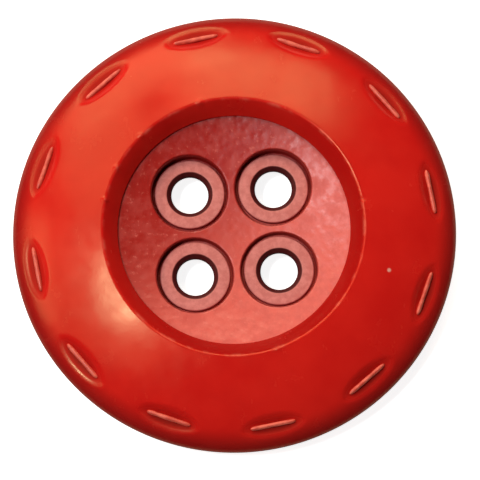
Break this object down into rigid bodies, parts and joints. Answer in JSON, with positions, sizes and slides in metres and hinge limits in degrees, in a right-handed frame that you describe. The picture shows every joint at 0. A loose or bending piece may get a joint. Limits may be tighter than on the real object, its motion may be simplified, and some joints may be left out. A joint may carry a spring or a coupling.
{
  "type": "four-hole sew-on button",
  "caption": "Round domed sew-on coat button with a sunk dished centre, thread holes lined by eyelets and an imitation hand-stitched border.",
  "frame": {"origin": "middle of the flat back, on the plane that lies on the cloth", "axes": "+Z out of the face; X and Y along the rows of thread holes"},
  "size_m": [0.0254, 0.0254, 0.0035],
  "materials": {
    "rim_gloss": "polished moulded red plastic",
    "centre_satin": "satin red plastic with a fine hammered grain",
    "back_satin": "plain satin moulded red plastic",
    "eyelet_rose": "matte dusty-rose plastic",
    "stitch_coral": "smooth coral plastic"
  },
  "bodies": {
    "root": {"rim_shell": "rim_gloss", "centre_disc": "centre_satin", "back_plate": "back_satin", "eyelet_1": "eyelet_rose", "eyelet_2": "eyelet_rose", "eyelet_3": "eyelet_rose", "eyelet_4": "eyelet_rose", "stitch_01": "stitch_coral", "stitch_02": "stitch_coral", "stitch_03": "stitch_coral", "stitch_04": "stitch_coral", "stitch_05": "stitch_coral", "stitch_06": "stitch_coral", "stitch_07": "stitch_coral", "stitch_08": "stitch_coral", "stitch_09": "stitch_coral", "stitch_10": "stitch_coral", "stitch_11": "stitch_coral", "stitch_12": "stitch_coral"}
  },
  "joints": []
}
